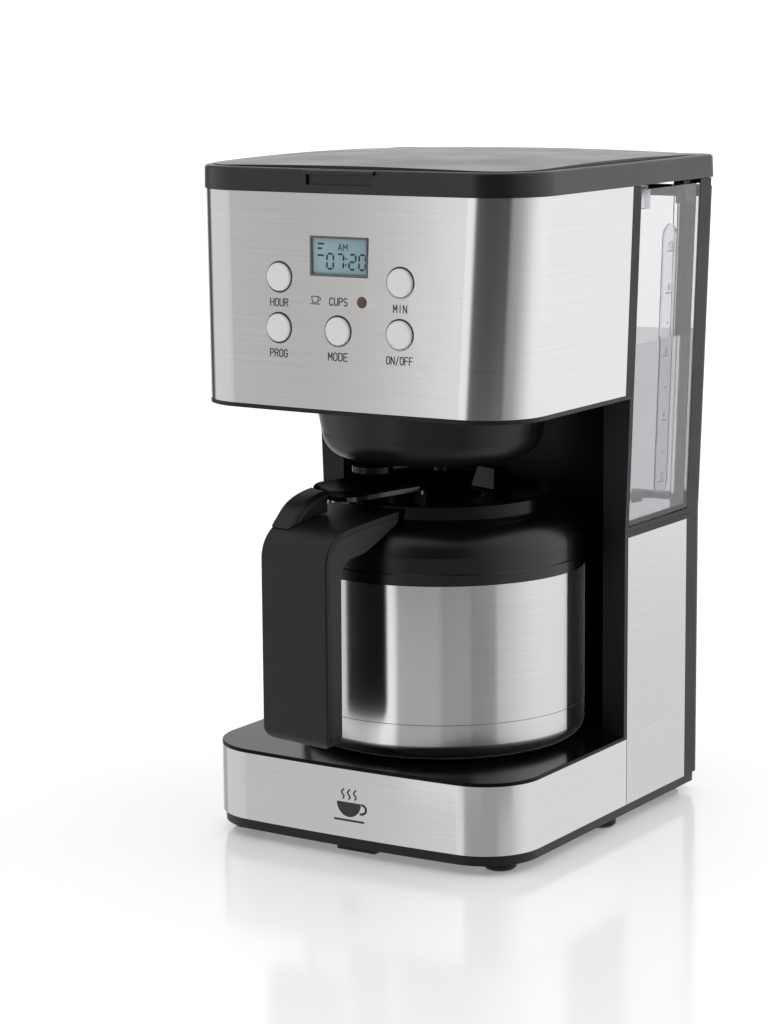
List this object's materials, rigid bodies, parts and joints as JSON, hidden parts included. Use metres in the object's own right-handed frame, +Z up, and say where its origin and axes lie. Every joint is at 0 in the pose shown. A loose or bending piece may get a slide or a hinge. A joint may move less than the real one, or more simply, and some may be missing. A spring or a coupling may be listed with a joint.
{
  "type": "drip coffee maker",
  "caption": "Upright drip coffee maker: a steel-wrapped brewing head with buttons and a display over an insulated jug on a low base, clear water tank behind.",
  "frame": {"origin": "on the table under the middle of the machine's outline, at the soles of the feet", "axes": "+Z up, +Y from the front to the back, +X to the right as seen by someone facing the controls"},
  "size_m": [0.1992, 0.2342, 0.349],
  "materials": {
    "basket_black": "satin",
    "black_satin": "fine moulded grain",
    "black_trim": "fine moulded grain",
    "board_green": "solder mask",
    "bowl_black": "satin",
    "bracket_steel": "pressed sheet",
    "button_satin": "pearl satin",
    "collar_black": "soft satin",
    "deck_black": "semi-gloss",
    "display_case": "moulded",
    "display_face": "liquid crystal behind a clear cover",
    "display_rim": "satin moulded",
    "flask_steel": "polished inside",
    "foot_rubber": "matte",
    "fuse_metal": "plated",
    "gauge_clear": "clear moulded plastic with raised ticks",
    "handle_black": "soft satin",
    "handle_inner": "soft satin",
    "heater_alloy": "as cast",
    "hose_silicone": "translucent silicone",
    "jug_lid_black": "semi-gloss",
    "jug_steel": "brushed around",
    "lamp_red": "tinted lens, unlit",
    "lever_black": "glossy",
    "lid_black": "satin, fine grain",
    "lug_clear": "translucent moulded plastic",
    "panel_steel": "brushed upright",
    "pin_steel": "polished",
    "screw_steel": "zinc plated",
    "seal_silicone": "translucent silicone",
    "spring_steel": "drawn wire",
    "switch_black": "moulded",
    "tank_clear": "clear moulded plastic",
    "thermostat_black": "moulded",
    "wrap_steel": "brushed along the length, thin clear coat"
  },
  "bodies": {
    "housing": {"base_steel_wrap": "wrap_steel", "base_inner_wall": "black_satin", "deck": "deck_black", "bottom_pan": "black_trim", "bottom_screws": "screw_steel", "rubber_feet": "foot_rubber", "front_rest_block": "foot_rubber", "column_housing": "black_satin", "right_side_panel": "panel_steel", "left_side_panel": "panel_steel", "cord_inlet_gland": "foot_rubber", "upper_frame": "black_satin", "water_tank": "tank_clear", "level_gauge": "gauge_clear", "tank_lugs": "lug_clear", "tank_check_valve": "basket_black", "tank_outlet_seal": "seal_silicone", "cold_water_hose": "hose_silicone", "hot_water_riser": "hose_silicone", "heater_tube": "heater_alloy", "heater_supports": "bracket_steel", "thermostat": "thermostat_black", "thermal_fuses": "fuse_metal", "brew_spout": "basket_black", "head_steel_wrap": "wrap_steel", "head_inner_shell": "black_satin", "head_floor": "black_trim", "button_switches": "switch_black", "control_board": "board_green", "board_standoffs": "bracket_steel", "display_frame": "display_rim", "display_window": "display_face", "display_module": "display_case", "power_lamp": "lamp_red", "filter_bowl": "bowl_black", "filter_basket": "basket_black", "basket_bail": "pin_steel", "shower_head": "basket_black", "lid_hinge_pins": "pin_steel"},
    "lid": {"lid": "lid_black"},
    "hour_key": {"hour_button": "button_satin"},
    "minute_key": {"minute_button": "button_satin"},
    "program_key": {"program_button": "button_satin"},
    "mode_key": {"mode_button": "button_satin"},
    "power_key": {"power_button": "button_satin"},
    "drip_valve": {"drip_stop": "jug_lid_black", "drip_stop_spring": "spring_steel"},
    "jug": {"jug_base_band": "jug_steel", "jug_outer_shell": "jug_steel", "jug_joint_ring": "bracket_steel", "jug_inner_flask": "flask_steel", "jug_collar": "collar_black", "jug_handle_cover": "handle_black", "jug_handle_core": "handle_inner", "lever_guard": "handle_black"},
    "jug_cap": {"jug_lid": "jug_lid_black", "jug_lid_seal": "seal_silicone", "pour_valve_cap": "jug_lid_black", "lever_pin": "pin_steel"},
    "pour_lever": {"thumb_lever": "lever_black"}
  },
  "joints": [
    {"name": "lid_hinge", "type": "hinge", "parent": "housing", "child": "lid", "pos_m": [0, 0.1115, 0.3356], "axis": [-1, 0, 0], "range_deg": [0, 80]},
    {"name": "hour_press", "type": "slide", "parent": "housing", "child": "hour_key", "axis": [0, 1, 0], "range_m": [0, 0.0012], "stiffness_N_per_m": 900, "springref_m": -0.0004},
    {"name": "minute_press", "type": "slide", "parent": "housing", "child": "minute_key", "axis": [0, 1, 0], "range_m": [0, 0.0012], "stiffness_N_per_m": 900, "springref_m": -0.0004},
    {"name": "program_press", "type": "slide", "parent": "housing", "child": "program_key", "axis": [0, 1, 0], "range_m": [0, 0.0012], "stiffness_N_per_m": 900, "springref_m": -0.0004},
    {"name": "mode_press", "type": "slide", "parent": "housing", "child": "mode_key", "axis": [0, 1, 0], "range_m": [0, 0.0012], "stiffness_N_per_m": 900, "springref_m": -0.0004},
    {"name": "power_press", "type": "slide", "parent": "housing", "child": "power_key", "axis": [0, 1, 0], "range_m": [0, 0.0012], "stiffness_N_per_m": 900, "springref_m": -0.0004},
    {"name": "drip_stop_lift", "type": "slide", "parent": "housing", "child": "drip_valve", "axis": [0, 0, 1], "range_m": [0, 0.0025], "stiffness_N_per_m": 250, "springref_m": -0.002, "deforming": ["drip_stop_spring"]},
    {"name": "jug_pull", "type": "slide", "parent": "housing", "child": "jug", "axis": [0, -1, 0], "range_m": [0, 0.19]},
    {"name": "jug_cap_twist", "type": "hinge", "parent": "jug", "child": "jug_cap", "pos_m": [0, -0.003, 0.17], "axis": [0, 0, 1], "range_deg": [0, 45]},
    {"name": "pour_lever_tilt", "type": "hinge", "parent": "jug_cap", "child": "pour_lever", "pos_m": [-0.00605, -0.02726, 0.1776], "axis": [0.9703, -0.2419, 0], "range_deg": [0, 3], "stiffness_Nm_per_rad": 0.6, "springref_deg": -2.86}
  ]
}
